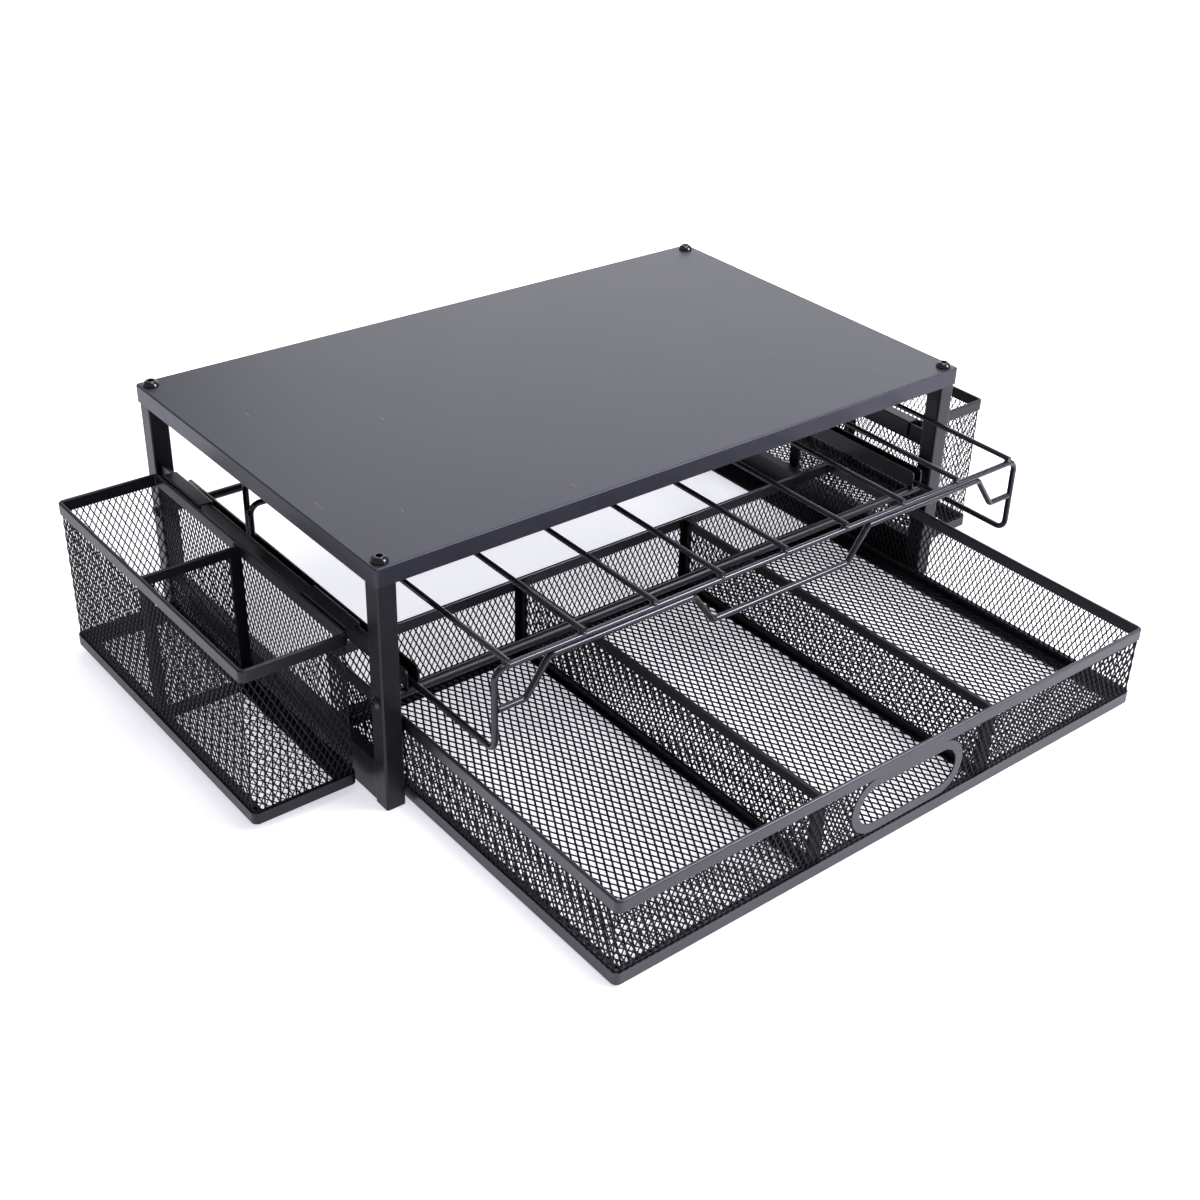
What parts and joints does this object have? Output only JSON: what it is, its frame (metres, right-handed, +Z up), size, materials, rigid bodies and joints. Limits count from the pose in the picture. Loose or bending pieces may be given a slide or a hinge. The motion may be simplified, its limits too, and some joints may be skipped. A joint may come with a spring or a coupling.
{
  "type": "desk riser pod organizer",
  "caption": "Black steel desk riser: sheet top on square tube legs, a pull-out wire rack for coffee pods, a pull-out mesh drawer with dividers, and mesh side baskets on hooks.",
  "frame": {"origin": "on the floor, in the middle of the whole object's footprint with the drawer and the rack pulled out as drawn", "axes": "+X to the user's right along the width, +Y to the back, +Z up; the drawer and the rack pull out towards -Y"},
  "size_m": [0.613, 0.4864, 0.1703],
  "materials": {
    "satin_black_sheet": "satin black powder coat on sheet steel",
    "black_mesh": "satin black powder coat on expanded mesh",
    "black_wire": "satin black powder coat on steel wire",
    "gloss_black_fasteners": "gloss black coated steel screws"
  },
  "bodies": {
    "stand": {"top_plate": "satin_black_sheet", "leg_front_left": "satin_black_sheet", "leg_front_right": "satin_black_sheet", "leg_rear_left": "satin_black_sheet", "leg_rear_right": "satin_black_sheet", "top_screws": "gloss_black_fasteners", "top_nuts": "gloss_black_fasteners", "cross_bar_front": "satin_black_sheet", "cross_bar_rear": "satin_black_sheet", "cross_bar_screws": "gloss_black_fasteners", "side_rail_left": "satin_black_sheet", "side_rail_right": "satin_black_sheet", "slide_channel_left": "satin_black_sheet", "slide_channel_right": "satin_black_sheet", "drawer_runner_left": "satin_black_sheet", "drawer_runner_right": "satin_black_sheet"},
    "wire_rack": {"rack_hoop_front": "black_wire", "rack_hoop_rear": "black_wire", "rack_slide_wire_left": "black_wire", "rack_slide_wire_right": "black_wire", "rack_rod_1": "black_wire", "rack_rod_2": "black_wire", "rack_rod_3": "black_wire", "rack_rod_4": "black_wire", "rack_rod_5": "black_wire", "rack_rod_6": "black_wire", "rack_rod_7": "black_wire", "rack_rod_8": "black_wire", "rack_rod_9": "black_wire", "rack_grip_wire": "black_wire", "rack_stop_wire": "black_wire"},
    "drawer": {"drawer_floor": "black_mesh", "drawer_wall": "black_mesh", "drawer_rim": "satin_black_sheet", "drawer_band": "satin_black_sheet", "drawer_grip_ring": "satin_black_sheet", "drawer_divider_1": "black_mesh", "drawer_divider_2": "black_mesh", "drawer_divider_binding_1": "satin_black_sheet", "drawer_divider_binding_2": "satin_black_sheet"},
    "basket_left": {"basket_left_floor": "black_mesh", "basket_left_wall": "black_mesh", "basket_left_rim": "satin_black_sheet", "basket_left_band": "satin_black_sheet", "basket_left_divider": "black_mesh", "basket_left_divider_binding": "satin_black_sheet", "basket_left_hooks": "satin_black_sheet"},
    "basket_right": {"basket_right_floor": "black_mesh", "basket_right_wall": "black_mesh", "basket_right_rim": "satin_black_sheet", "basket_right_band": "satin_black_sheet", "basket_right_divider": "black_mesh", "basket_right_divider_binding": "satin_black_sheet", "basket_right_hooks": "satin_black_sheet"}
  },
  "joints": [
    {"name": "drawer_slide", "type": "slide", "parent": "stand", "child": "drawer", "axis": [0, -1, 0], "range_m": [-0.1945, 0.03]},
    {"name": "rack_slide", "type": "slide", "parent": "stand", "child": "wire_rack", "axis": [0, -1, 0], "range_m": [-0.079, 0.1]},
    {"name": "basket_left_lift", "type": "slide", "parent": "stand", "child": "basket_left", "axis": [0, 0, 1], "range_m": [0, 0.03]},
    {"name": "basket_right_lift", "type": "slide", "parent": "stand", "child": "basket_right", "axis": [0, 0, 1], "range_m": [0, 0.03]}
  ]
}
